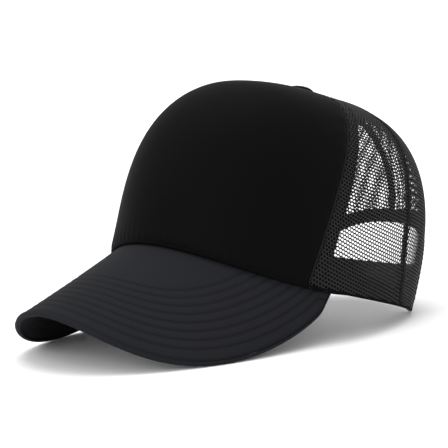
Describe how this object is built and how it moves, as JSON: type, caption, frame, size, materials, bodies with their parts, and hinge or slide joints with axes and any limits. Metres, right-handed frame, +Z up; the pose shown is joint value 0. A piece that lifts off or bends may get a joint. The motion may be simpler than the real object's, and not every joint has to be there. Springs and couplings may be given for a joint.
{
  "type": "baseball cap",
  "caption": "Trucker cap with a foam-backed front, net sides and back, a bent stitched visor and a snap closure in a back arch.",
  "frame": {"origin": "middle of the cap's bounding box at the table it rests on", "axes": "+Z up from the table, the visor points along -Y, the wearer's left is +X; the crown leans back by 15.3 degrees, as the cap rests on its visor corners and the back corners of its rim"},
  "size_m": [0.1606, 0.295, 0.1462],
  "materials": {
    "front_cloth": "matte laminated knit",
    "foam": "matte foam",
    "mesh": "knitted net",
    "tape": "knitted tape",
    "sweatband": "matte woven band",
    "visor_cloth": "matte brushed twill",
    "visor_board": "moulded sheet",
    "strap": "satin",
    "steel": "plain"
  },
  "bodies": {
    "cap": {"front_panel_cloth": "front_cloth", "front_panel_foam": "foam", "side_mesh_left": "mesh", "side_mesh_right": "mesh", "back_mesh_left": "mesh", "back_mesh_right": "mesh", "seam_tape_front_left": "tape", "seam_tape_front_right": "tape", "seam_tape_side_left": "tape", "seam_tape_side_right": "tape", "seam_tape_center_back": "tape", "arch_binding": "tape", "sweatband": "sweatband", "sweatband_backing": "foam", "visor_board": "visor_board", "visor_top_cloth": "visor_cloth", "visor_under_cloth": "visor_cloth", "visor_edge_roll": "visor_cloth", "button_cover": "front_cloth", "button_shell": "steel", "button_rivet": "steel", "button_washer": "steel", "strap_tab_left": "strap", "strap_tab_right": "strap"},
    "hole_strap": {"snap_strap_holes": "strap"},
    "peg_strap": {"snap_strap_pegs": "strap"}
  },
  "joints": [
    {"name": "hole_strap_bend", "type": "hinge", "parent": "cap", "child": "hole_strap", "pos_m": [0.03923, 0.11325, 0.0184], "axis": [0, -0.2632, -0.9647], "range_deg": [0, 25], "stiffness_Nm_per_rad": 0.03},
    {"name": "peg_strap_bend", "type": "hinge", "parent": "cap", "child": "peg_strap", "pos_m": [-0.03829, 0.11212, 0.01871], "axis": [0, -0.2632, -0.9647], "range_deg": [0, 35], "stiffness_Nm_per_rad": 0.03}
  ]
}
